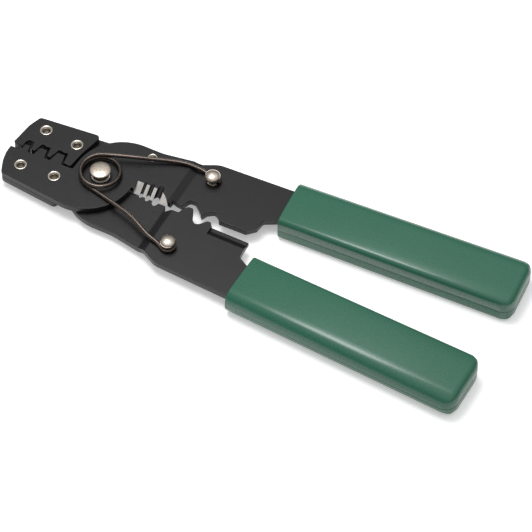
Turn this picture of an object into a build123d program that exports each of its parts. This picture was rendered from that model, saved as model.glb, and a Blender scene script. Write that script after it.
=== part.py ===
"""Hand crimping tool: two crossed stamped levers on one pivot rivet, with laminated crimping dies at
the nose, a wire shear with stripping notches behind the pivot, two crimping nests, a flat crimping
land, a torsion spring coiled round the pivot and a moulded grip on each handle.

Modelled lying flat with the jaws towards -X, the handles towards +X and the pivot along Z. Lengths
are in millimetres. Everything is laid out round the pivot, with Z = 0 on the sliding face between
the levers, and is moved at the end so that the origin is the middle of the tool's underside.
"""
import math
import os

from build123d import *

# Plates
plate_thickness = 2.5          # each lever, and each plate riveted to a jaw
sliding_gap = 0.1              # between the two levers where they cross
rim_radius = 0.2               # rounding left by tumbling and coating along the plates' outlines

# Motion
rest_opening = 3.0             # degrees that the tool lies open, measured from shut
full_opening = 12.0            # degrees from the resting place to wide open

# Dies, from the heel of the jaw outwards
heel_x = -10.4                 # heel of the lower jaw's die edge
parting_height = -1.7          # height of the die floor's line where it passes the pivot
parting_slope = 1.9            # degrees that the floor falls towards the tip
shut_gap = 0.15                # left between the two jaws' flats when the tool is shut
flank_clearance = 0.35         # a tooth's side to its pocket, when shut
roof_clearance = 0.5           # a tooth's crest to its pocket's roof, when shut
# Each crimping station: flat before it, width at the floor, width at the crest, height, lobes
stations = (
    (4.5, 4.8, 3.0, 4.4, 2),
    (2.2, 4.3, 2.8, 3.8, 2),
    (2.4, 2.9, 1.9, 3.1, 1),
)
tip_land = 4.0                 # flat beyond the last tooth
lobe_depth = 0.5               # how far the cusp between two lobes hangs down

# Jaws
lower_jaw_depth = 12.2         # die floor to the lower edge, at the tip
upper_jaw_depth = 14.5         # die floor to the upper edge, at the tip
jaw_splay = 5.6                # degrees that each outer edge spreads towards the hub
hub_radius = 17.6
hub_centre = (8.0, 1.4)        # of the big arc on each lever's shoulder
heel_clearance = 1.6           # riveted plate's heel to the other lever's shoulder
cheek_radius = 17.5            # arc from the jaw's outer edge to the shear edge
cheek_x = 12.5                 # where that arc meets the shear edge

# Eyelets
eyelet_flange_radius = 2.4
eyelet_flange_height = 0.4
eyelet_barrel_radius = 1.6
eyelet_bore_radius = 1.1
eyelet_clearance = 0.02
front_rivet = (-27.7, 9.1)
rear_rivet = (-14.4, 8.2)
lever_eyelet_at = (12.7, 15.3)
lever_eyelet_flange_radius = 1.9
lever_eyelet_barrel_radius = 1.25
lever_eyelet_bore_radius = 0.85

# Wire shear and stripping notches
shear_end_x = 28.2
shear_edge_angle = 0.3         # each knife edge from the middle line, so they pass as the tool shuts
shear_bevel_width = 3.7
shear_bevel_start = 13.2
shear_sweep_radius = 9.2       # rounded far end of the ground bevel
# Each stripping notch: place along the edge, radius
notches = ((16.3, 0.6), (19.0, 0.85), (22.3, 1.25))

# Bend that brings both handles to one level
joggle_start = 26.8
joggle_run = 3.0

# Nests and land behind the bend
nest_edge_y = 1.8              # flat on the upper lever's inner edge
nest_x = (34.5, 43.6)
nest_width = 5.4
nest_depth = (3.7, 2.7)
nest_tooth_x = 40.3
land_start = 46.0
land_length = 11.0
land_ledge_y = 1.35            # lower lever's thin ledge
land_step_y = 5.3              # lower lever's full thickness
land_slope_width = 2.4         # slope from the ledge up to the full thickness
neck_length = 8.8              # land's end to the mouth of the grip
neck_inner_y = 9.0

# Handles
tang_width = 14.4
tang_end_wall = 6.0            # plastic past the tang's end
handle_splay = 2.7             # degrees that each grip turns away from the middle line
handle_offset = 18.9           # middle of the grip's mouth, from the middle line
grip_length = 88.6
grip_mouth_width = 20.9
grip_end_width = 22.7
grip_thickness = 10.6
grip_edge_radius = 3.0
grip_corner_radius = 4.5
grip_mouth_radius = 0.8
tang_clearance = 0.1

# Pivot rivet
pivot_shank_radius = 3.5
pivot_clearance = 0.05
pivot_neck_radius = 3.0
pivot_neck_height = 2.2        # stands inside the coil
pivot_head_radius = 3.9
pivot_head_rim = 0.6
pivot_head_dome = 0.8
pivot_foot_radius = 4.6
pivot_foot_height = 1.1
washer_radius = 5.4
washer_thickness = 0.5
washer_gap = 0.05              # lets the lower lever turn against the washer

# Spring posts
post_at = (36.4, 16.6)
post_shank_radius = 2.0
post_neck_radius = 1.6
post_neck_height = 2.2
post_head_radius = 2.9
post_head_rim = 0.7
post_head_dome = 1.5
post_foot_radius = 2.8
post_foot_height = 0.8
post_clearance = 0.02

# Return spring
wire_radius = 0.75
coil_radius = 7.1              # to the middle of the wire
coil_lift = 0.1                # wire to the lever it lies on
coil_gap = 0.1                 # between neighbouring turns
upper_leg_angle = 115.0        # where the wire leaves the coil, in degrees from +X
lower_leg_angle = 256.0
hook_clearance = 0.15

# Derived places
upper_level = sliding_gap / 2
lower_level = -sliding_gap / 2
handle_top = plate_thickness / 2
hub_top = upper_level + plate_thickness
hub_bottom = -hub_top
coil_pitch = 2 * wire_radius + coil_gap
plate_heel_x = heel_x - heel_clearance + 0.4
tip_x = heel_x - tip_land - sum(station[0] + station[1] for station in stations)
land_end = land_start + land_length
mouth_x = land_end + neck_length
far = 400.0                    # larger than the tool, for cutting blocks


def turned(x, y, degrees):
    """A point turned about the pivot."""
    point = Vector(x, y, 0).rotate(Axis.Z, degrees)
    return point.X, point.Y


def floor_y(x):
    """Height of the lower die's floor at a distance along the jaw."""
    return parting_height + math.tan(math.radians(parting_slope)) * x


def outline(points):
    """Closed face from (x, y) or (x, y, corner radius) points. A radius that its runs have no room for
    is brought down until it fits."""
    corners = [Vector(point[0], point[1], 0) for point in points]
    count = len(corners)
    leaving = [(corners[(i + 1) % count] - corners[i]).normalized() for i in range(count)]
    turns = [math.radians(leaving[i - 1].get_angle(leaving[i])) for i in range(count)]
    reaches = [(point[2] if len(point) > 2 else 0) * math.tan(turn / 2) for point, turn in zip(points, turns)]
    shares = [1.0] * count
    for i in range(count):
        after = (i + 1) % count
        wanted = reaches[i] + reaches[after]
        room = 0.98 * (corners[after] - corners[i]).length
        if wanted > room:
            shares[i] = min(shares[i], room / wanted)
            shares[after] = min(shares[after], room / wanted)
    starts = []
    ends = []
    arcs = []
    for i in range(count):
        reach = reaches[i] * shares[i]
        start = corners[i] - leaving[i - 1] * reach
        end = corners[i] + leaving[i] * reach
        starts.append(start)
        ends.append(end)
        if reach > 0:
            arcs.append(TangentArc(start, end, tangent=leaving[i - 1]))
    lines = [Line(ends[i - 1], starts[i]) for i in range(count)]
    return make_face(lines + arcs)


def slab(points, bottom, top):
    return Pos(0, 0, bottom) * extrude(outline(points), top - bottom)


def mirrored(points):
    """The same outline on the other side of the middle line."""
    return [(point[0], -point[1], *point[2:]) for point in points]


def cylinder(x, y, radius, bottom, top):
    return Pos(x, y, (bottom + top) / 2) * Cylinder(radius, top - bottom)


def turned_piece(profile):
    """Solid of revolution about Z from (radius, height) points."""
    face = make_face(Polyline(*[(radius, 0, height) for radius, height in profile], close=True))
    return revolve(face, Axis.Z)


def with_rounded_rims(plate):
    """The plate with the edges between its upright walls and its flats rounded."""
    rims = []
    for wall in plate.faces():
        if abs(wall.normal_at(0.5, 0.5).Z) > 0.001:
            continue
        for edge in wall.edges():
            if abs(edge.tangent_at(0.5).Z) < 0.95 and not any(edge.is_same(rim) for rim in rims):
                rims.append(edge)
    return fillet(rims, rim_radius)


# ---- die edges ------------------------------------------------------------

def tooth_edge(heel):
    """Lower die's edge at rest, from a heel to the tip."""
    points = [(heel, floor_y(heel), 0.4)]
    x = heel_x
    for flat, base, crest, height, lobes in stations:
        x -= flat
        points.append((x, floor_y(x), 0.5))
        flank = (base - crest) / 2
        crest_y = floor_y(x - base / 2) + height
        points.append((x - flank, crest_y, 0.5))
        points.append((x - base + flank, crest_y - 0.2, 0.5))
        x -= base
        points.append((x, floor_y(x), 0.4))
    points.append((tip_x, floor_y(tip_x), 0.5))
    return points


def pocket_edge(heel):
    """Upper die's edge at rest, from the tip to a heel."""
    points = [(tip_x, floor_y(tip_x) + shut_gap, 0.8)]
    x = heel_x
    pockets = []
    for flat, base, crest, height, lobes in stations:
        x -= flat
        mouth = base / 2 + flank_clearance
        roof = crest / 2 + flank_clearance
        middle = x - base / 2
        roof_y = floor_y(middle) + height + roof_clearance
        pocket = [(middle + mouth, floor_y(middle + mouth) + shut_gap, 0.4), (middle + roof, roof_y, 0.6)]
        if lobes == 2:
            pocket.append((middle, roof_y - lobe_depth, 0.3))
        pocket.append((middle - roof, roof_y, 0.6))
        pocket.append((middle - mouth, floor_y(middle - mouth) + shut_gap, 0.4))
        pockets.append(pocket)
        x -= base
    for pocket in reversed(pockets):
        points.extend(reversed(pocket))
    points.append((heel, floor_y(heel) + shut_gap, 0.4))
    return [(*turned(px, py, -rest_opening), radius) for px, py, radius in points]


def lower_jaw_corner():
    """Blunt outer corner at the lower jaw's tip."""
    y = floor_y(tip_x)
    return [(tip_x, y - 3.5, 12), (tip_x + 1.0, y - 0.6 * lower_jaw_depth, 12), (tip_x + 3.2, y - lower_jaw_depth, 1.5)]


def upper_jaw_corner():
    """Blunt outer corner at the upper jaw's tip."""
    y = turned(tip_x, floor_y(tip_x) + shut_gap, -rest_opening)[1]
    return [(tip_x + 2.8, y + upper_jaw_depth, 1.5), (tip_x + 1.0, y + 0.65 * upper_jaw_depth, 12), (tip_x + 0.2, y + 2.6, 2)]


def splayed(corner, x):
    """Point at x on the outer edge that spreads from a jaw's corner."""
    side = 1 if corner[1] > 0 else -1
    return (x, corner[1] + side * math.tan(math.radians(jaw_splay)) * (x - corner[0]))


# ---- levers ---------------------------------------------------------------

def grip_point(along, across):
    """Point in the upper grip: distance from its mouth and from its middle line."""
    x, y = turned(along, across, handle_splay)
    return mouth_x + x, handle_offset + y


def shoulder_and_tang():
    """Upper lever's outline from the hub's side round the shoulder and tang to the neck."""
    tang_end = grip_length - tang_end_wall
    half = tang_width / 2
    top = hub_centre[1] + hub_radius
    return [
        (hub_centre[0] - hub_radius, top, hub_radius),
        (15.0, top, 20),
        (joggle_start + 1.8, top + 2.3, 8),
        (post_at[0] - 1.4, post_at[1] + 8.0, 8),
        grip_point(0, half),
        (*grip_point(tang_end, half), 5),
        (*grip_point(tang_end, -half), 5),
        grip_point(0, -half),
        (mouth_x - 1.2, 11.2, 2),
        (land_end + 3.6, neck_inner_y, 1.5),
    ]


def joggled(points, level):
    """Plate with the given outline that lies at one level at the hub and mid-way at the handle."""
    start = level
    ribbon_points = [
        (-far, start), (joggle_start, start, 1.5), (joggle_start + joggle_run, -handle_top, 1.5),
        (far, -handle_top), (far, handle_top), (joggle_start + joggle_run, handle_top, 1.5),
        (joggle_start, start + plate_thickness, 1.5), (-far, start + plate_thickness),
    ]
    ribbon = Plane.XZ * outline(ribbon_points)
    ribbon = extrude(ribbon, far / 2, both=True)
    return slab(points, -far / 2, far / 2) & ribbon


def shear_point(x, side):
    """Point on a lever's knife edge."""
    return turned(x, 0, side * shear_edge_angle)


def shear_tools():
    """Ground bevel and stripping notches of the upper lever, whose knife edge is its underside."""
    rise = plate_thickness / shear_bevel_width
    profile = Polyline(
        (-1, upper_level - rise),
        (2 * shear_bevel_width, upper_level + 2 * plate_thickness),
        (-1, upper_level + 2 * plate_thickness),
        close=True,
    )
    wedge = Plane.YZ * make_face(profile)
    wedge = Pos(shear_bevel_start, 0, 0) * extrude(wedge, shear_end_x - shear_bevel_start + 0.4)
    sweep_x = shear_end_x + 0.2 - shear_sweep_radius
    sweep_end = cylinder(sweep_x, shear_bevel_width - shear_sweep_radius + 0.6, shear_sweep_radius, -far, far)
    sweep_end += Pos(sweep_x - far / 2, 0, 0) * Box(far, far, far)
    cutters = [wedge & sweep_end]
    slope = math.degrees(math.atan(rise))
    for x, radius in notches:
        groove = Rot(X=slope - 90) * Cylinder(radius, 30)
        cutters.append(Pos(x, 0, upper_level + 0.25 * radius) * groove)
    return [Rot(Z=shear_edge_angle) * cutter for cutter in cutters]


def upper_lever_outline():
    inner_edge = [
        (land_end + 3.2, 5.0, 1.0),
        (land_end + 0.2, nest_edge_y + 0.3, 0.8),
        (land_start + 0.6, nest_edge_y, 0.8),
        (nest_x[1] + nest_width / 2 - 0.5, nest_edge_y + nest_depth[1] - 1.0, 1.0),
        (nest_x[1], nest_edge_y + nest_depth[1] + 0.4, 1.4),
        (nest_x[1] - nest_width / 2 + 0.4, nest_edge_y + nest_depth[1] - 1.4, 1.0),
        (nest_tooth_x, nest_edge_y - 1.0, 0.3),
        (nest_x[0] + nest_width / 2, nest_edge_y + nest_depth[0] - 1.4, 0.8),
        (nest_x[0] + 0.8, nest_edge_y + nest_depth[0] + 0.1, 1.0),
        (nest_x[0] - 1.2, nest_edge_y + nest_depth[0] - 0.1, 1.0),
        (nest_x[0] - nest_width / 2 + 0.2, nest_edge_y, 0.3),
        (shear_end_x + 0.2, nest_edge_y + 0.3, 0.3),
        (*shear_point(shear_end_x, 1), 0.3),
        shear_point(cheek_x, 1),
    ]
    corner = lower_jaw_corner()
    cheek = (*splayed(corner[-1], cheek_x), cheek_radius)
    return [*shoulder_and_tang(), *inner_edge, cheek, *reversed(corner), *reversed(tooth_edge(heel_x))]


def lower_lever_outline():
    inner_edge = [
        (land_end + 3.4, -5.3, 0.8),
        (land_end + 3.4, -land_ledge_y, 0.5),
        (land_start - 0.6, -land_ledge_y, 0.3),
        (land_start - 1.4, 0.0, 0.8),
        (nest_x[1] - 0.4, -0.1, 0.8),
        (nest_tooth_x + 0.9, -2.6, 0.8),
        (nest_tooth_x - 0.6, -3.2, 0.8),
        (nest_tooth_x - 2.1, -2.0, 0.8),
        (nest_x[0] + 1.6, 2.6, 0.8),
        (nest_x[0] - 0.2, 2.5, 0.8),
        (nest_x[0] - 1.6, 1.0, 0.8),
        (nest_x[0] - 2.2, -1.2, 0.3),
        (joggle_start + 2.6, -1.4, 0.3),
        (joggle_start + 0.5, -2.5, 0.3),
        (*shear_point(joggle_start - 0.5, -1), 0.3),
        shear_point(cheek_x, -1),
    ]
    corner = upper_jaw_corner()
    cheek = (*splayed(corner[0], cheek_x), cheek_radius)
    return [*mirrored(shoulder_and_tang()), *inner_edge, cheek, *corner, *pocket_edge(heel_x)]


def land_rebate():
    """Half-thickness rebate along the land, for the lower lever's upper face."""
    profile = Polyline(
        (-land_step_y, handle_top + 1),
        (-land_step_y, handle_top),
        (-land_step_y + land_slope_width, 0),
        (far / 10, 0),
        (far / 10, handle_top + 1),
        close=True,
    )
    block = Plane.YZ * make_face(profile)
    return Pos(land_start - 0.4, 0, 0) * extrude(block, land_length + 3.8 + 1.0)


def drilled(plate, holes):
    for x, y, radius in holes:
        plate -= cylinder(x, y, radius, -far / 2, far / 2)
    return plate


def upper_lever():
    plate = with_rounded_rims(joggled(upper_lever_outline(), upper_level))
    for cutter in shear_tools():
        plate -= cutter
    barrel = eyelet_barrel_radius + eyelet_clearance
    return drilled(plate, [
        (0, 0, pivot_shank_radius + pivot_clearance),
        (front_rivet[0], -front_rivet[1], barrel),
        (rear_rivet[0], -rear_rivet[1], barrel),
        (*lever_eyelet_at, lever_eyelet_barrel_radius + eyelet_clearance),
        (*post_at, post_shank_radius + post_clearance),
    ])


def lower_lever():
    plate = with_rounded_rims(joggled(lower_lever_outline(), hub_bottom))
    for cutter in shear_tools():
        plate -= Rot(X=180) * cutter
    plate -= land_rebate()
    barrel = eyelet_barrel_radius + eyelet_clearance
    return drilled(plate, [
        (0, 0, pivot_shank_radius + pivot_clearance),
        (*front_rivet, barrel),
        (*rear_rivet, barrel),
        (post_at[0], -post_at[1], post_shank_radius + post_clearance),
    ])


# ---- plates riveted to the jaws -------------------------------------------

def heel_arc(corner):
    """Heel that stands clear of the other lever's shoulder, from the die edge to the outer edge."""
    side = 1 if corner[1] > 0 else -1
    x = hub_centre[0] - hub_radius - heel_clearance
    return [(x + 0.25, side * 5.0, 30), (x + 2.6, splayed(corner, x + 2.6)[1], 1.5)]


def upper_jaw_plate():
    corner = upper_jaw_corner()
    points = [*corner, *pocket_edge(plate_heel_x), *heel_arc(corner[0])]
    plate = with_rounded_rims(slab(points, lower_level, lower_level + plate_thickness))
    barrel = eyelet_barrel_radius + eyelet_clearance
    return drilled(plate, [(*front_rivet, barrel), (*rear_rivet, barrel)])


def lower_jaw_plate():
    corner = lower_jaw_corner()
    points = [*tooth_edge(plate_heel_x), *corner, *reversed(heel_arc(corner[-1]))]
    plate = with_rounded_rims(slab(points, upper_level - plate_thickness, upper_level))
    barrel = eyelet_barrel_radius + eyelet_clearance
    return drilled(plate, [(front_rivet[0], -front_rivet[1], barrel), (rear_rivet[0], -rear_rivet[1], barrel)])


# ---- rivets, pivot and posts ----------------------------------------------

def eyelet(bottom, top, flange=eyelet_flange_radius, barrel=eyelet_barrel_radius, bore=eyelet_bore_radius):
    """Hollow rivet with a rolled flange on each face of the stack."""
    height = eyelet_flange_height
    roll = height * 0.45
    profile = [
        (bore, bottom - height + roll),
        (bore + roll, bottom - height),
        (flange - roll, bottom - height),
        (flange, bottom - height + roll),
        (flange, bottom),
        (barrel, bottom),
        (barrel, top),
        (flange, top),
        (flange, top + height - roll),
        (flange - roll, top + height),
        (bore + roll, top + height),
        (bore, top + height - roll),
    ]
    return turned_piece(profile)


def domed(radius, height, base):
    """Low spherical cap that stands on a flat rim."""
    sphere_radius = (radius ** 2 + height ** 2) / (2 * height)
    ball = Pos(0, 0, base + height - sphere_radius) * Sphere(sphere_radius)
    return ball & cylinder(0, 0, radius, base, base + height)


def pivot_rivet():
    neck_top = hub_top + pivot_neck_height
    rim_top = neck_top + pivot_head_rim
    foot_top = hub_bottom - washer_gap - washer_thickness
    body = cylinder(0, 0, pivot_shank_radius, foot_top, hub_top)
    body += cylinder(0, 0, pivot_neck_radius, hub_top, neck_top)
    body += cylinder(0, 0, pivot_head_radius, neck_top, rim_top)
    body += domed(pivot_head_radius, pivot_head_dome, rim_top)
    foot = cylinder(0, 0, pivot_foot_radius, foot_top - pivot_foot_height / 2, foot_top)
    foot += Pos(0, 0, foot_top - pivot_foot_height / 2) * Rot(X=180) * domed(pivot_foot_radius, pivot_foot_height / 2, 0)
    return body + foot


def pivot_washer():
    top = hub_bottom - washer_gap
    ring = cylinder(0, 0, washer_radius, top - washer_thickness, top)
    return ring - cylinder(0, 0, pivot_shank_radius + pivot_clearance, -far, far)


def spring_post(side):
    neck_top = handle_top + post_neck_height
    rim_top = neck_top + post_head_rim
    foot_top = -handle_top
    post = cylinder(0, 0, post_shank_radius, foot_top, handle_top)
    post += cylinder(0, 0, post_neck_radius, handle_top, neck_top)
    post += cylinder(0, 0, post_head_radius, neck_top, rim_top)
    post += domed(post_head_radius, post_head_dome, rim_top)
    foot = Rot(X=180) * domed(post_foot_radius, post_foot_height, 0)
    post += Pos(0, 0, foot_top) * foot
    return Pos(post_at[0], side * post_at[1], 0) * post


# ---- grips ----------------------------------------------------------------

def upper_grip():
    """Moulded sleeve over the tang, its thickness centred on the plate."""
    plan = [
        grip_point(0, grip_mouth_width / 2),
        (*grip_point(grip_length, grip_end_width / 2), grip_corner_radius),
        (*grip_point(grip_length, -grip_end_width / 2), grip_corner_radius),
        grip_point(0, -grip_mouth_width / 2),
    ]
    half = grip_thickness / 2
    body = slab(plan, -half, half)
    mouth = body.faces().sort_by(Axis.X)[0]
    mouth_edges = mouth.edges()
    rims = [edge for face in (body.faces().sort_by(Axis.Z)[0], body.faces().sort_by(Axis.Z)[-1])
            for edge in face.edges() if edge not in mouth_edges]
    body = fillet(rims, grip_edge_radius)
    tang_end = grip_length - tang_end_wall
    room = tang_width / 2 + tang_clearance
    cavity = [grip_point(-5, room), grip_point(tang_end + tang_clearance, room),
              grip_point(tang_end + tang_clearance, -room), grip_point(-5, -room)]
    return body - slab(cavity, -handle_top - tang_clearance, handle_top + tang_clearance)


# ---- return spring --------------------------------------------------------

def hook_points(side, height):
    """Wire's last points, round the outside of a post."""
    reach = post_neck_radius + wire_radius + hook_clearance
    spots = []
    for degrees in (140, 90, 40, -10):
        corner = reach / math.cos(math.radians(25))
        x = post_at[0] + corner * math.cos(math.radians(degrees))
        y = post_at[1] + corner * math.sin(math.radians(degrees))
        spots.append((x, side * y, height))
    return spots


def spring_points():
    """Corners of the wire's run, from the lower post round the coil to the upper post."""
    seat = hub_top + coil_lift + wire_radius
    handle_seat = handle_top + coil_lift + wire_radius
    turn = lower_leg_angle - upper_leg_angle + 360
    steps = 11
    step = turn / steps
    corner_radius = coil_radius / math.cos(math.radians(step / 2))
    coil = []
    for index in range(steps):
        swept = (index + 0.5) * step
        angle = math.radians(lower_leg_angle - swept)
        height = seat + coil_pitch * swept / 360
        coil.append((corner_radius * math.cos(angle), corner_radius * math.sin(angle), height))
    lower_leg = [*reversed(hook_points(-1, handle_seat)), (29.5, -16.9, handle_seat + 0.4), (19.5, -12.0, seat)]
    upper_leg = [(23.3, 17.9, seat + 0.3), (27.8, 18.2, seat), *hook_points(1, handle_seat)]
    return lower_leg + coil + upper_leg


def return_spring():
    points = [Vector(*point) for point in spring_points()]
    radii = []
    for before, here, after in zip(points, points[1:], points[2:]):
        run = min((here - before).length, (after - here).length)
        half_turn = math.radians((here - before).get_angle(after - here)) / 2
        radii.append(0.45 * run / math.tan(half_turn))
    path = FilletPolyline(*points, radius=radii)
    section = Plane(origin=path @ 0, z_dir=path % 0) * Circle(wire_radius)
    return sweep(section, path)


# ---- assembly -------------------------------------------------------------

def flipped(shape):
    """The same piece on the other side of the middle line."""
    return mirror(shape, Plane.XZ)


def all_nodes():
    upper_stack = (hub_bottom, lower_level + plate_thickness)
    lower_stack = (upper_level - plate_thickness, hub_top)
    grip = upper_grip()
    lever_eyelet = eyelet(
        upper_level, hub_top,
        lever_eyelet_flange_radius, lever_eyelet_barrel_radius, lever_eyelet_bore_radius,
    )
    return {
        "upper_lever": upper_lever(),
        "lower_lever": lower_lever(),
        "upper_jaw_die_plate": upper_jaw_plate(),
        "lower_jaw_die_plate": lower_jaw_plate(),
        "upper_jaw_front_eyelet": Pos(*front_rivet, 0) * eyelet(*upper_stack),
        "upper_jaw_rear_eyelet": Pos(*rear_rivet, 0) * eyelet(*upper_stack),
        "lower_jaw_front_eyelet": Pos(front_rivet[0], -front_rivet[1], 0) * eyelet(*lower_stack),
        "lower_jaw_rear_eyelet": Pos(rear_rivet[0], -rear_rivet[1], 0) * eyelet(*lower_stack),
        "lever_eyelet": Pos(*lever_eyelet_at, 0) * lever_eyelet,
        "pivot_rivet": pivot_rivet(),
        "pivot_washer": pivot_washer(),
        "upper_spring_post": spring_post(1),
        "lower_spring_post": spring_post(-1),
        "return_spring": return_spring(),
        "upper_grip": grip,
        "lower_grip": flipped(grip),
    }


def main():
    nodes = all_nodes()
    boxes = [shape.bounding_box() for shape in nodes.values()]
    low = [min(tuple(box.min)[axis] for box in boxes) for axis in range(3)]
    high = [max(tuple(box.max)[axis] for box in boxes) for axis in range(3)]
    base = Pos(-(low[0] + high[0]) / 2, -(low[1] + high[1]) / 2, -low[2])
    os.makedirs("parts", exist_ok=True)
    for name, shape in nodes.items():
        export_step(base * shape, f"parts/{name}.step")
    print("pivot at", tuple(base.position))


main()
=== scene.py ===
import bmesh
import bpy
import math
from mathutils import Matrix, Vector


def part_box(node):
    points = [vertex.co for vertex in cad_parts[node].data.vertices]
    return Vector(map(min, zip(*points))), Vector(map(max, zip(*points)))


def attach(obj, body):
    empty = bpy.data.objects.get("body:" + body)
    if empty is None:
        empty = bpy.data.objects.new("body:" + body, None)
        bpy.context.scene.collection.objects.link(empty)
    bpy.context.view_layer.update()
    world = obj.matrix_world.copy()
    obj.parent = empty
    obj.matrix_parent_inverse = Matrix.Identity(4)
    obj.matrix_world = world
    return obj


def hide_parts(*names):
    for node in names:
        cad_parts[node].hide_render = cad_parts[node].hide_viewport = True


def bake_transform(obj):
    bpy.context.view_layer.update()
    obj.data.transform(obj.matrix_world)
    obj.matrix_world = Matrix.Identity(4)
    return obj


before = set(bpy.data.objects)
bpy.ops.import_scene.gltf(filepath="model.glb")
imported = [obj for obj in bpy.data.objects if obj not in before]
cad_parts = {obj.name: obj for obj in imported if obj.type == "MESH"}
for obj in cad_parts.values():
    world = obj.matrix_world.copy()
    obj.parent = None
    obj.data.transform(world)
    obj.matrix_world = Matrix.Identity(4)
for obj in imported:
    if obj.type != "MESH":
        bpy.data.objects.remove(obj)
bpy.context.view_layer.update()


# ---- camera ----------------------------------------------------------------
# A long lens looks down on the tool as it lies on the table, from the side of the lower handle.

MM = 0.001

camera_data = bpy.data.cameras.new("camera")
camera_data.lens = 175.7
camera_data.sensor_width = 36.0
camera = bpy.data.objects.new("camera", camera_data)
bpy.context.scene.collection.objects.link(camera)
camera.location = Vector((263.897, -496.40, 721.48)) * MM
aim = Vector((11.597, -9.28, 7.85)) * MM
camera.rotation_euler = (aim - camera.location).to_track_quat("-Z", "Y").to_euler()
bpy.context.scene.camera = camera
bpy.context.scene.view_settings.view_transform = "Standard"


# ---- table and studio light ------------------------------------------------
# A matt white table, one square softbox overhead, a little towards the tips, and pale walls that
# grow darker towards the horizon. Table and walls show white, and the table keeps the shadow.

def add_node(tree, kind, settings=(), **inputs):
    """Adds one node. An input is given a value, or the socket that feeds it."""
    node = tree.nodes.new(kind)
    for setting, value in dict(settings).items():
        setattr(node, setting, value)
    for name, value in inputs.items():
        place = int(name[1:]) if name[0] == "i" and name[1:].isdigit() else name.replace("_", " ")
        socket = node.inputs[place]
        if isinstance(value, bpy.types.NodeSocket):
            tree.links.new(value, socket)
        else:
            socket.default_value = value
    return node


def new_material(name):
    """An empty node material: the material, its tree and its output node."""
    material = bpy.data.materials.new(name)
    material.use_nodes = True
    material.node_tree.nodes.clear()
    output = material.node_tree.nodes.new("ShaderNodeOutputMaterial")
    return material, material.node_tree, output


# matt white laminate: a plain white that clips softly, so only the contact shadow shows
table_paint, tree, output = new_material("matt_white_table")
path = add_node(tree, "ShaderNodeLightPath")
seen = add_node(tree, "ShaderNodeMath", {"operation": "MAXIMUM"},
                i0=path.outputs["Is Camera Ray"], i1=path.outputs["Is Glossy Ray"])
seen = add_node(tree, "ShaderNodeMath", {"operation": "MAXIMUM"},
                i0=seen.outputs[0], i1=path.outputs["Is Transmission Ray"])
lift = add_node(tree, "ShaderNodeMath", {"operation": "MULTIPLY"}, i0=seen.outputs[0], i1=0.34)
matt = add_node(tree, "ShaderNodeBsdfDiffuse", Color=(0.88, 0.88, 0.88, 1))
glow = add_node(tree, "ShaderNodeEmission", Color=(1, 1, 1, 1), Strength=lift.outputs[0])
both = add_node(tree, "ShaderNodeAddShader", i0=matt.outputs[0], i1=glow.outputs[0])
tree.links.new(both.outputs[0], output.inputs["Surface"])

bpy.ops.object.select_all(action="DESELECT")
bpy.ops.mesh.primitive_plane_add(size=8)
table = bpy.context.object
table.name = "table"
table.data.materials.append(table_paint)

world = bpy.data.worlds.new("studio")
bpy.context.scene.world = world
world.use_nodes = True
tree = world.node_tree
tree.nodes.clear()
direction = add_node(tree, "ShaderNodeTexCoord")
height = add_node(tree, "ShaderNodeSeparateXYZ", Vector=direction.outputs["Generated"])
walls = add_node(tree, "ShaderNodeValToRGB", Fac=height.outputs["Z"])
ramp = walls.color_ramp
ramp.elements[0].position, ramp.elements[0].color = 0.0, (0.10, 0.10, 0.10, 1)
ramp.elements[1].position, ramp.elements[1].color = 0.95, (1.0, 1.0, 1.0, 1)
middle = ramp.elements.new(0.45)
middle.color = (0.30, 0.30, 0.30, 1)
path = add_node(tree, "ShaderNodeLightPath")
walls = add_node(tree, "ShaderNodeMix", {"data_type": "RGBA"},
                 Factor=path.outputs["Is Camera Ray"], i6=walls.outputs["Color"], i7=(1, 1, 1, 1))
background = add_node(tree, "ShaderNodeBackground", Color=walls.outputs[2], Strength=1.0)
add_node(tree, "ShaderNodeOutputWorld", Surface=background.outputs[0])


def softbox(name, place, size, watts):
    """A square softbox that faces the tool."""
    light = bpy.data.lights.new(name, "AREA")
    light.shape = "SQUARE"
    light.size = size
    light.energy = watts
    lamp = bpy.data.objects.new(name, light)
    bpy.context.scene.collection.objects.link(lamp)
    lamp.location = place
    lamp.rotation_euler = (-Vector(place)).to_track_quat("-Z", "Y").to_euler()


softbox("overhead_softbox", place=(-0.12, 0.04, 0.50), size=0.24, watts=1.75)


# ---- levers ----------------------------------------------------------------
# Two levers stamped from 2.5 mm steel plate and coated black all over. The wire shear's bevel is
# ground after coating, so it is bare steel, and the stripping notches in it stay black.

def colour(text):
    """sRGB hex to the linear colour that a node takes."""
    parts = [int(text[i:i + 2], 16) / 255 for i in (1, 3, 5)]
    linear = [part / 12.92 if part <= 0.04045 else ((part + 0.055) / 1.055) ** 2.4
              for part in parts]
    return (*linear, 1)


pivot = Vector((-59.5634, 0, 5.3)) * MM
plate_thickness = 2.5
bevel_width = 3.7
bevel_reach = (12.9, 28.7)
shear_turn = 0.3


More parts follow.
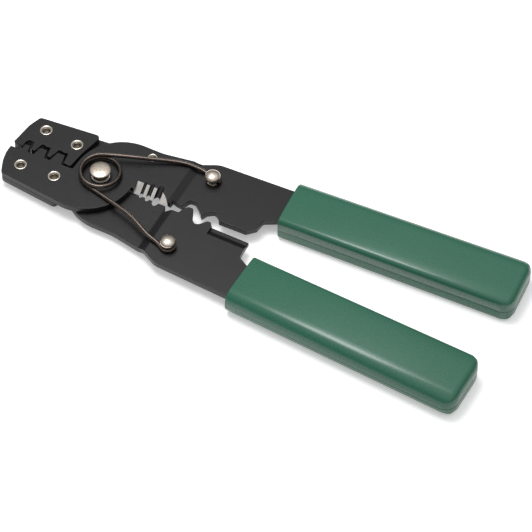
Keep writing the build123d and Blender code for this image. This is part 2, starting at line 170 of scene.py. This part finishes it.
def coated_steel(name, ground_edge=0):
    """Black stoved coating on blasted steel. ground_edge is 1 where the bare shear bevel faces up,
    -1 where it faces down, and 0 where there is none."""
    material, tree, output = new_material(name)
    place = add_node(tree, "ShaderNodeTexCoord")
    grain = add_node(tree, "ShaderNodeTexNoise", Vector=place.outputs["Object"],
                     Scale=1 / (0.55 * MM), Detail=3.0, Roughness=0.6)
    mottle = add_node(tree, "ShaderNodeTexNoise", Vector=place.outputs["Object"],
                      Scale=1 / (7.0 * MM), Detail=4.0, Roughness=0.55)
    tone = add_node(tree, "ShaderNodeMix", {"data_type": "RGBA"}, Factor=mottle.outputs["Fac"],
                    i6=colour("#0e0d0e"), i7=colour("#171518"))
    speck = add_node(tree, "ShaderNodeMapRange", Value=grain.outputs["Fac"],
                     From_Min=0.35, From_Max=0.70, To_Min=0.80, To_Max=1.25)
    tone = add_node(tree, "ShaderNodeVectorMath", {"operation": "SCALE"},
                    i0=tone.outputs[2], Scale=speck.outputs[0])
    gloss = add_node(tree, "ShaderNodeMapRange", Value=grain.outputs["Fac"],
                     From_Min=0.3, From_Max=0.7, To_Min=0.30, To_Max=0.44)
    relief = add_node(tree, "ShaderNodeBump", Strength=0.35, Distance=0.03 * MM,
                      Height=grain.outputs["Fac"])
    coat = add_node(tree, "ShaderNodeBsdfPrincipled", Base_Color=tone.outputs[0], IOR=1.42,
                    Roughness=gloss.outputs[0], Normal=relief.outputs[0])
    surface = coat.outputs[0]
    if ground_edge:
        # bare tool steel: bright, with the wheel's fine lines running across the edge
        turn = math.radians(shear_turn) * ground_edge
        along = add_node(tree, "ShaderNodeMapping", {"vector_type": "TEXTURE"},
                         Vector=place.outputs["Object"], Location=pivot, Rotation=(0, 0, turn))
        lines = add_node(tree, "ShaderNodeTexNoise", Vector=add_node(
            tree, "ShaderNodeMapping", Vector=along.outputs[0], Scale=(1, 0.06, 0.06)).outputs[0],
            Scale=1 / (0.35 * MM), Detail=3.0, Roughness=0.7)
        tint = add_node(tree, "ShaderNodeMix", {"data_type": "RGBA"}, Factor=lines.outputs["Fac"],
                        i6=colour("#8f8b88"), i7=colour("#e4e0dc"))
        polish = add_node(tree, "ShaderNodeMapRange", Value=lines.outputs["Fac"],
                          From_Min=0.3, From_Max=0.7, To_Min=0.28, To_Max=0.46)
        scratch = add_node(tree, "ShaderNodeBump", Strength=0.4, Distance=0.03 * MM,
                           Height=lines.outputs["Fac"])
        bare = add_node(tree, "ShaderNodeBsdfPrincipled", Base_Color=tint.outputs[2], Metallic=1.0,
                        Roughness=polish.outputs[0], Normal=scratch.outputs[0])
        # bare only on the bevel's own plane, within its reach behind the pivot: the notches were
        # filed before coating and stay black
        facing = Vector((0, -plate_thickness, bevel_width)).normalized() * ground_edge
        depth = add_node(tree, "ShaderNodeVectorMath", {"operation": "DOT_PRODUCT"},
                         i0=along.outputs[0], i1=facing)
        on_plane = add_node(tree, "ShaderNodeMath", {"operation": "COMPARE"},
                            i0=depth.outputs["Value"], i1=0.0414 * MM, i2=0.06 * MM)
        reach = add_node(tree, "ShaderNodeSeparateXYZ", Vector=along.outputs[0])
        in_reach = add_node(tree, "ShaderNodeMath", {"operation": "COMPARE"},
                            i0=reach.outputs["X"], i1=sum(bevel_reach) / 2 * MM,
                            i2=(bevel_reach[1] - bevel_reach[0]) / 2 * MM)
        tilt = add_node(tree, "ShaderNodeVectorMath", {"operation": "DOT_PRODUCT"},
                        i0=place.outputs["Normal"], i1=facing)
        facing_it = add_node(tree, "ShaderNodeMath", {"operation": "GREATER_THAN"},
                             i0=tilt.outputs["Value"], i1=0.97)
        inside = add_node(tree, "ShaderNodeMath", {"operation": "MULTIPLY"},
                          i0=on_plane.outputs[0], i1=in_reach.outputs[0])
        inside = add_node(tree, "ShaderNodeMath", {"operation": "MULTIPLY"},
                          i0=inside.outputs[0], i1=facing_it.outputs[0])
        surface = add_node(tree, "ShaderNodeMixShader", Fac=inside.outputs[0],
                           i1=surface, i2=bare.outputs[0]).outputs[0]
    tree.links.new(surface, output.inputs["Surface"])
    return material


def finish_node(node, material):
    """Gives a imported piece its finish."""
    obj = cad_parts[node]
    if not obj.material_slots:
        obj.data.materials.append(material)
    for slot in obj.material_slots:
        slot.material = material


finish_node("upper_lever", coated_steel("black_coated_steel_ground_above", 1))
finish_node("lower_lever", coated_steel("black_coated_steel_ground_below", -1))


# ---- die plates ------------------------------------------------------------
# A second plate of the same coated steel lies on each jaw, cut to the same die edge, so that
# the crimping dies are two plates thick.

die_coat = coated_steel("black_coated_steel")
finish_node("upper_jaw_die_plate", die_coat)
finish_node("lower_jaw_die_plate", die_coat)


# ---- eyelets ---------------------------------------------------------------
# Five hollow brass rivets, nickel plated. Each is drawn tube whose ends are rolled over the
# plates, which leaves a bright ring round a funnel that runs down into the bore.

def nickel_plate(name, hammered_mm, light="#d8d2c8", dark="#a79e92", roughness=(0.16, 0.30)):
    """Bright nickel with a warm cast. hammered_mm is the spacing of the faint dents of forming."""
    material, tree, output = new_material(name)
    place = add_node(tree, "ShaderNodeTexCoord")
    dents = add_node(tree, "ShaderNodeTexNoise", Vector=place.outputs["Object"],
                     Scale=1 / (hammered_mm * MM), Detail=2.0, Roughness=0.5)
    haze = add_node(tree, "ShaderNodeTexNoise", Vector=place.outputs["Object"],
                    Scale=1 / (0.35 * MM), Detail=3.0, Roughness=0.6)
    tint = add_node(tree, "ShaderNodeMix", {"data_type": "RGBA"}, Factor=dents.outputs["Fac"],
                    i6=colour(dark), i7=colour(light))
    gloss = add_node(tree, "ShaderNodeMapRange", Value=haze.outputs["Fac"],
                     From_Min=0.3, From_Max=0.7, To_Min=roughness[0], To_Max=roughness[1])
    relief = add_node(tree, "ShaderNodeBump", Strength=0.5, Distance=0.06 * MM,
                      Height=dents.outputs["Fac"])
    metal = add_node(tree, "ShaderNodeBsdfPrincipled", Base_Color=tint.outputs[2], Metallic=1.0,
                     Roughness=gloss.outputs[0], Normal=relief.outputs[0])
    tree.links.new(metal.outputs[0], output.inputs["Surface"])
    return material


def drawn_up(name, centre, rings, hollow=False, rounding=0.0):
    """A round piece drawn up from a circle. Each ring is (radius, height) in mm, and a hollow
    piece's last ring is its first."""
    bpy.ops.object.select_all(action="DESELECT")
    radius, level = rings[0]
    bpy.ops.mesh.primitive_circle_add(vertices=64, radius=radius * MM,
                                      fill_type="NOTHING" if hollow else "NGON",
                                      location=(centre[0] * MM, centre[1] * MM, level * MM))
    piece = bpy.context.object
    piece.name = name
    bpy.ops.object.mode_set(mode="EDIT")
    bpy.ops.mesh.select_all(action="SELECT")
    for (old, low), (new, high) in zip(rings, rings[1:]):
        rise = (0, 0, (high - low) * MM)
        bpy.ops.mesh.extrude_region_move(TRANSFORM_OT_translate={"value": rise})
        bpy.ops.transform.resize(value=(new / old, new / old, 1),
                                 center_override=(centre[0] * MM, centre[1] * MM, high * MM))
    bpy.ops.mesh.select_all(action="SELECT")
    bpy.ops.mesh.remove_doubles(threshold=0.002 * MM)
    bpy.ops.mesh.normals_make_consistent(inside=False)
    if rounding:
        bpy.ops.mesh.select_all(action="DESELECT")
        bpy.ops.mesh.edges_select_sharp(sharpness=math.radians(35))
        bpy.ops.mesh.bevel(offset=rounding * MM, segments=3, affect="EDGES")
    bpy.ops.object.mode_set(mode="OBJECT")
    bpy.ops.object.transform_apply(location=True, rotation=True, scale=True)
    bpy.ops.object.shade_smooth_by_angle(angle=math.radians(40))
    return piece


def eyelet(node, body, x, y, share=1.0):
    """An eyelet in a packed eyelet's place, between its two flanges. share sizes its section."""
    low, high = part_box(node)
    bottom, top = low.z / MM + flange_height, high.z / MM - flange_height
    half_section = [(1.10, -0.75), (1.18, -0.35), (1.34, -0.05), (1.56, 0.18), (1.80, 0.34),
                    (2.00, 0.40), (2.20, 0.36), (2.34, 0.24), (2.40, 0.10), (2.38, 0.0),
                    (1.60, 0.0)]
    upper = [(radius * share, top + rise) for radius, rise in half_section]
    lower = [(radius * share, bottom - rise) for radius, rise in reversed(half_section)]
    piece = drawn_up(node + "_rolled", (x, y), [*upper, *lower, upper[0]], hollow=True)
    piece.data.materials.append(eyelet_plate)
    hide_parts(node)
    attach(piece, body)


flange_height = 0.4
flange_radius = 2.4
lever_flange_radius = 1.9
eyelet_plate = nickel_plate("nickel_plated_brass_rolled", hammered_mm=0.9)
for jaw, side, body in (("upper", 1, "lower_handle_side"), ("lower", -1, "upper_handle_side")):
    for rivet, x, y in (("front", -87.263, 9.1), ("rear", -73.963, 8.2)):
        eyelet(f"{jaw}_jaw_{rivet}_eyelet", body, x, side * y)
low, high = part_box("lever_eyelet")
middle = (low + high) / 2 / MM
eyelet("lever_eyelet", "upper_handle_side", middle.x, middle.y,
       share=lever_flange_radius / flange_radius)


# ---- pivot -----------------------------------------------------------------
# A turned steel rivet joins the levers. Its neck and domed head stand up inside the coil of the
# spring, and its other end is peened over a flat washer, which is bought in.

def dome(radius, base, rise, steps=7):
    """Rings of a low dome, from its rim to near its middle."""
    quarter = [math.pi / 2 * i / steps for i in range(1, steps)]
    return [*((radius * math.cos(a), base + rise * math.sin(a)) for a in quarter),
            (radius * 0.06, base + rise)]


def peened_foot(radius, base, rise):
    """Rings of a foot that is hammered round, from near its middle to its rim."""
    return [(radius * math.sin(a), base + rise * (1 - math.cos(a)))
            for a in (0.06, 0.35, 0.7, 1.05, 1.35, math.pi / 2)]


head_plate = nickel_plate("nickel_plated_steel_peened", hammered_mm=1.3,
                          light="#e6dccf", dark="#bcae9e")
low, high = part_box("pivot_rivet")
bottom = low.z / MM
top = high.z / MM
foot_radius, foot_height = 4.6, 1.1
shank_radius = 3.5
neck_radius = 3.0
head_radius, head_height = 3.9, 1.4
pivot_rings = [*peened_foot(foot_radius, bottom, foot_height / 2),
               (foot_radius, bottom + foot_height), (shank_radius, bottom + foot_height),
               (shank_radius, 7.80), (3.3, 7.86),
               (neck_radius, 7.9), (neck_radius, top - head_height),
               (head_radius - 0.15, top - head_height), (head_radius, top - head_height + 0.15),
               (head_radius, top - 0.8), *dome(head_radius, top - 0.8, 0.8)]
pivot_piece = drawn_up("pivot_rivet_turned", (pivot.x / MM, 0), pivot_rings, rounding=0.12)
pivot_piece.data.materials.append(head_plate)
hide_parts("pivot_rivet")
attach(pivot_piece, "upper_handle_side")

finish_node("pivot_washer", nickel_plate("nickel_plated_washer", hammered_mm=2.5,
                                         roughness=(0.25, 0.40)))


# ---- spring posts ----------------------------------------------------------
# One headed post is riveted through each handle. The wire's hook lies round the neck, under a
# domed head, and the foot is peened flat on the underside.

post_x, post_across = -23.163, 16.6
post_foot_radius, post_foot_height = 2.8, 0.8
post_shank_radius = 2.0
post_neck_radius = 1.6
post_head_radius, post_head_height = 2.9, 2.2

for side, handle in ((1, "upper"), (-1, "lower")):
    node = f"{handle}_spring_post"
    low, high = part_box(node)
    bottom = low.z / MM
    top = high.z / MM
    head = top - post_head_height
    rings = [*peened_foot(post_foot_radius, bottom, post_foot_height),
             (post_shank_radius, bottom + post_foot_height), (post_shank_radius, 6.55),
             (post_neck_radius, 6.6), (post_neck_radius, head), (post_head_radius - 0.15, head),
             (post_head_radius, head + 0.15), (post_head_radius, top - 1.5),
             *dome(post_head_radius, top - 1.5, 1.5)]
    post = drawn_up(node + "_headed", (post_x, side * post_across), rings, rounding=0.1)
    post.data.materials.append(head_plate)
    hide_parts(node)
    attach(post, f"{handle}_handle_side")


# ---- return spring ---------------------------------------------------------
# One torsion spring of 1.5 mm oil-tempered wire, wound round the pivot's neck. A leg runs out
# over each lever and ends in a hook round that lever's post.

wire_radius = 0.75
coil_radius = 7.1071
hook_radius = 2.5
hook_level = 2.1
post_behind = 36.4
wire_steel, tree, output = new_material("oil_tempered_spring_wire")
# drawn wire: dark, faintly brown, with a clear glint along its crown
place = add_node(tree, "ShaderNodeTexCoord")
drawing = add_node(tree, "ShaderNodeTexNoise", Vector=place.outputs["Object"],
                   Scale=1 / (0.5 * MM), Detail=3.0, Roughness=0.65)
scale_marks = add_node(tree, "ShaderNodeTexNoise", Vector=place.outputs["Object"],
                       Scale=1 / (4.0 * MM), Detail=3.0)
tint = add_node(tree, "ShaderNodeMix", {"data_type": "RGBA"}, Factor=scale_marks.outputs["Fac"],
                i6=colour("#3a3431"), i7=colour("#6a605a"))
gloss = add_node(tree, "ShaderNodeMapRange", Value=drawing.outputs["Fac"],
                 From_Min=0.3, From_Max=0.7, To_Min=0.26, To_Max=0.42)
relief = add_node(tree, "ShaderNodeBump", Strength=0.3, Distance=0.02 * MM,
                  Height=drawing.outputs["Fac"])
metal = add_node(tree, "ShaderNodeBsdfPrincipled", Base_Color=tint.outputs[2], Metallic=1.0,
                 Roughness=gloss.outputs[0], Normal=relief.outputs[0])
tree.links.new(metal.outputs[0], output.inputs["Surface"])


def hook(side):
    """The wire's last points, round the outside of a post, in mm from the pivot."""
    reach = hook_radius / math.cos(math.radians(12.5))
    round_post = [math.radians(a) for a in (140, 115, 90, 65, 40, 15, -10)]
    return [(post_behind + reach * math.cos(a), side * (post_across + reach * math.sin(a)),
             hook_level) for a in round_post]


turns_from, turns_by = 256.0, 501.0
coil_steps = 42
coil_level = 3.34
coil_pitch = 1.51
coil = []
for i in range(coil_steps + 1):
    swept = turns_by * i / coil_steps
    angle = math.radians(turns_from - swept)
    coil.append((coil_radius * math.cos(angle), coil_radius * math.sin(angle),
                 coil_level + coil_pitch * swept / 360))
lower_leg = [*reversed(hook(-1)), (31.6, -16.9, 2.35), (28.5, -16.5, 2.6), (24.0, -14.3, 3.1),
             (19.5, -12.1, 3.4), (12.1, -10.0, 3.4), (5.5, -8.55, 3.4)]
upper_leg = [(3.0, 8.9, 5.4), (9.7, 11.7, 4.95), (15.5, 14.3, 4.3), (21.5, 17.0, 3.75),
             (25.5, 18.1, 3.5), (29.5, 18.5, 2.9), (32.2, 18.6, 2.3), *hook(1)]
route = [*lower_leg, *coil, *upper_leg]

bpy.ops.object.select_all(action="DESELECT")
wire_curve = bpy.data.curves.new("return_spring_wire", "CURVE")
wire_curve.dimensions = "3D"
spline = wire_curve.splines.new("NURBS")
spline.points.add(len(route) - 1)
for point, spot in zip(spline.points, route):
    point.co = (*((Vector(spot) * MM) + pivot), 1)
spline.order_u = 4
spline.use_endpoint_u = True
spline.resolution_u = 5
wire_curve.bevel_depth = wire_radius * MM
wire_curve.bevel_resolution = 6
wire_curve.use_fill_caps = True
spring = bpy.data.objects.new("return_spring_wire", wire_curve)
bpy.context.scene.collection.objects.link(spring)
spring.select_set(True)
bpy.context.view_layer.objects.active = spring
bpy.ops.object.convert(target="MESH")
spring = bpy.context.object
bpy.ops.object.mode_set(mode="EDIT")
bpy.ops.mesh.select_all(action="SELECT")
bpy.ops.mesh.remove_doubles(threshold=0.001 * MM)
bpy.ops.mesh.normals_make_consistent(inside=False)
bpy.ops.object.mode_set(mode="OBJECT")
bpy.ops.object.shade_smooth_by_angle(angle=math.radians(50))
spring.data.materials.clear()
spring.data.materials.append(wire_steel)
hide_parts("return_spring")
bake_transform(spring)


# ---- grips -----------------------------------------------------------------
# A hard polypropylene sleeve is moulded in two half moulds and pressed on each tang. Its outer
# edges are rounder than its inner ones, and the moulds leave a fine parting line round it.

grip_length = 88.6
mouth_width = 20.9
end_width = 22.6
grip_thickness = 10.6
crown = 0.35
crown_lines = (-5.0, -3.0, -1.0, 1.0, 3.0, 5.0)
outer_rim = 4.2
inner_rim = 1.9
rear_rim = 2.6
rear_corner = 4.5
mouth_rim = 0.5
parting_line = 0.16
mouth_behind, mouth_across = 65.8, 18.9
grip_turn = 2.7
tang_slot = (14.6, 2.7)
tang_depth = 82.7

green_plastic, tree, output = new_material("moulded_green_polypropylene")
# fine spark-eroded mould finish: an even satin sheen over a slightly cloudy green
place = add_node(tree, "ShaderNodeTexCoord")
erosion = add_node(tree, "ShaderNodeTexNoise", Vector=place.outputs["Object"],
                   Scale=1 / (0.45 * MM), Detail=2.0, Roughness=0.55)
cloud = add_node(tree, "ShaderNodeTexNoise", Vector=place.outputs["Object"],
                 Scale=1 / (14.0 * MM), Detail=3.0)
tint = add_node(tree, "ShaderNodeMix", {"data_type": "RGBA"}, Factor=cloud.outputs["Fac"],
                i6=colour("#235b46"), i7=colour("#28624c"))
gloss = add_node(tree, "ShaderNodeMapRange", Value=erosion.outputs["Fac"],
                 From_Min=0.3, From_Max=0.7, To_Min=0.25, To_Max=0.32)
relief = add_node(tree, "ShaderNodeBump", Strength=0.06, Distance=0.02 * MM,
                  Height=erosion.outputs["Fac"])
plastic = add_node(tree, "ShaderNodeBsdfPrincipled", Base_Color=tint.outputs[2],
                   Roughness=gloss.outputs[0], Normal=relief.outputs[0], IOR=1.55)
tree.links.new(plastic.outputs[0], output.inputs["Surface"])


def choose(kind, test):
    """Selects the mesh's vertices or edges whose middle passes a test, in mm."""
    bpy.ops.mesh.select_mode(type=kind)
    bpy.ops.mesh.select_all(action="DESELECT")
    mesh = bmesh.from_edit_mesh(bpy.context.object.data)
    for item in mesh.verts if kind == "VERT" else mesh.edges:
        ends = [item.co] if kind == "VERT" else [end.co for end in item.verts]
        item.select_set(all(test(Vector(end) / MM) for end in ends))
    mesh.select_flush_mode()
    bmesh.update_edit_mesh(bpy.context.object.data)


def near(a, b, room=0.01):
    return abs(a - b) < room


def rounding(middle):
    """The radius that a blank's edge gets, from where its middle is. Most edges get none."""
    on_side = near(abs(middle.y), mouth_width / 2)
    on_flat = near(abs(middle.z), grip_thickness / 2 - crown)
    if on_side and near(middle.x, grip_length):
        return rear_corner
    if on_side and on_flat:
        return outer_rim if middle.y > 0 else inner_rim
    return rear_rim if on_flat and near(middle.x, grip_length) else 0


def moulded_grip(name):
    """A grip along +X from its mouth at the origin, with its outer side towards +Y."""
    blank = grip_thickness - 2 * crown
    half = mouth_width / 2
    bpy.ops.object.select_all(action="DESELECT")
    bpy.ops.mesh.primitive_cube_add(size=MM, location=(grip_length / 2 * MM, 0, 0),
                                    scale=(grip_length, mouth_width, blank))
    piece = bpy.context.object
    piece.name = name
    bpy.ops.object.transform_apply(location=True, rotation=True, scale=True)
    bpy.ops.object.mode_set(mode="EDIT")
    # the slot that the tang fills
    choose("VERT", lambda p: near(p.x, 0))
    bpy.ops.mesh.inset(thickness=1 * MM)
    slot_share = (1, tang_slot[0] / (mouth_width - 2), tang_slot[1] / (blank - 2))
    bpy.ops.transform.resize(value=slot_share, center_override=(0, 0, 0))
    bpy.ops.mesh.extrude_region_move(TRANSFORM_OT_translate={"value": (tang_depth * MM, 0, 0)})
    # the rims and the rear's upright corners, each with its own rounding
    mesh = bmesh.from_edit_mesh(piece.data)
    weight = mesh.edges.layers.float.new("bevel_weight_edge")
    for edge in mesh.edges:
        edge[weight] = rounding((edge.verts[0].co + edge.verts[1].co) / 2 / MM) / rear_corner
    bmesh.update_edit_mesh(piece.data)
    bpy.ops.object.mode_set(mode="OBJECT")
    rims = piece.modifiers.new("rims", "BEVEL")
    rims.limit_method = "WEIGHT"
    rims.width = rear_corner * MM
    rims.segments = 10
    rims.use_clamp_overlap = False
    bpy.ops.object.modifier_apply(modifier="rims")
    # lines along the grip, which carry the crown
    bpy.ops.object.mode_set(mode="EDIT")
    for across in crown_lines:
        bpy.ops.mesh.select_all(action="SELECT")
        bpy.ops.mesh.bisect(plane_co=(0, across * MM, 0), plane_no=(0, 1, 0))
    # the mouth's rounding and the parting line
    bpy.ops.mesh.select_all(action="SELECT")
    bpy.ops.mesh.remove_doubles(threshold=0.002 * MM)
    for depth, inset in ((mouth_rim, 0), (0.3 * mouth_rim, 0.3 * mouth_rim), (0, mouth_rim)):
        if depth:
            bpy.ops.mesh.select_all(action="SELECT")
            bpy.ops.mesh.bisect(plane_co=(depth * MM, 0, 0), plane_no=(1, 0, 0))
        choose("VERT", lambda p: near(p.x, depth) and (abs(p.y) > 7.5 or abs(p.z) > 1.6))
        bpy.ops.transform.resize(value=(1, 1 - inset / half, 1 - 2 * inset / blank),
                                 center_override=(0, 0, 0))
    for level in (-parting_line, 0, parting_line):
        bpy.ops.mesh.select_all(action="SELECT")
        bpy.ops.mesh.bisect(plane_co=(0, 0, level * MM), plane_no=(0, 0, 1))
    mesh = bmesh.from_edit_mesh(piece.data)
    rows = sorted({round(vertex.co.y / MM, 2) for vertex in mesh.verts})
    for row in rows:
        lift = 1 + crown / (blank / 2) * (1 - (row / half) ** 2)
        choose("VERT", lambda p: near(p.y, row, 0.0051))
        bpy.ops.transform.resize(value=(1, 1, lift), center_override=(0, 0, 0))
    choose("VERT", lambda p: near(p.z, 0) and p.x > 0.6)
    bpy.ops.transform.shrink_fatten(value=-parting_line * MM)
    choose("VERT", lambda p: p.x > grip_length / 2)
    bpy.ops.transform.resize(value=(1, end_width / mouth_width, 1), center_override=(0, 0, 0))
    bpy.ops.mesh.select_all(action="SELECT")
    bpy.ops.mesh.normals_make_consistent(inside=False)
    bpy.ops.object.mode_set(mode="OBJECT")
    bpy.ops.object.shade_smooth_by_angle(angle=math.radians(35))
    return piece


for side, handle in ((1, "upper"), (-1, "lower")):
    grip = moulded_grip(f"{handle}_grip_moulded")
    mouth = pivot + Vector((mouth_behind, side * mouth_across, 0)) * MM
    grip.scale = (1, side, 1)
    grip.rotation_euler = (0, 0, side * math.radians(grip_turn))
    grip.location = mouth
    bpy.ops.object.transform_apply(location=True, rotation=True, scale=True)
    if side < 0:
        bpy.ops.object.mode_set(mode="EDIT")
        bpy.ops.mesh.select_all(action="SELECT")
        bpy.ops.mesh.normals_make_consistent(inside=False)
        bpy.ops.object.mode_set(mode="OBJECT")
    grip.data.materials.append(green_plastic)
    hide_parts(f"{handle}_grip")
    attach(grip, f"{handle}_handle_side")
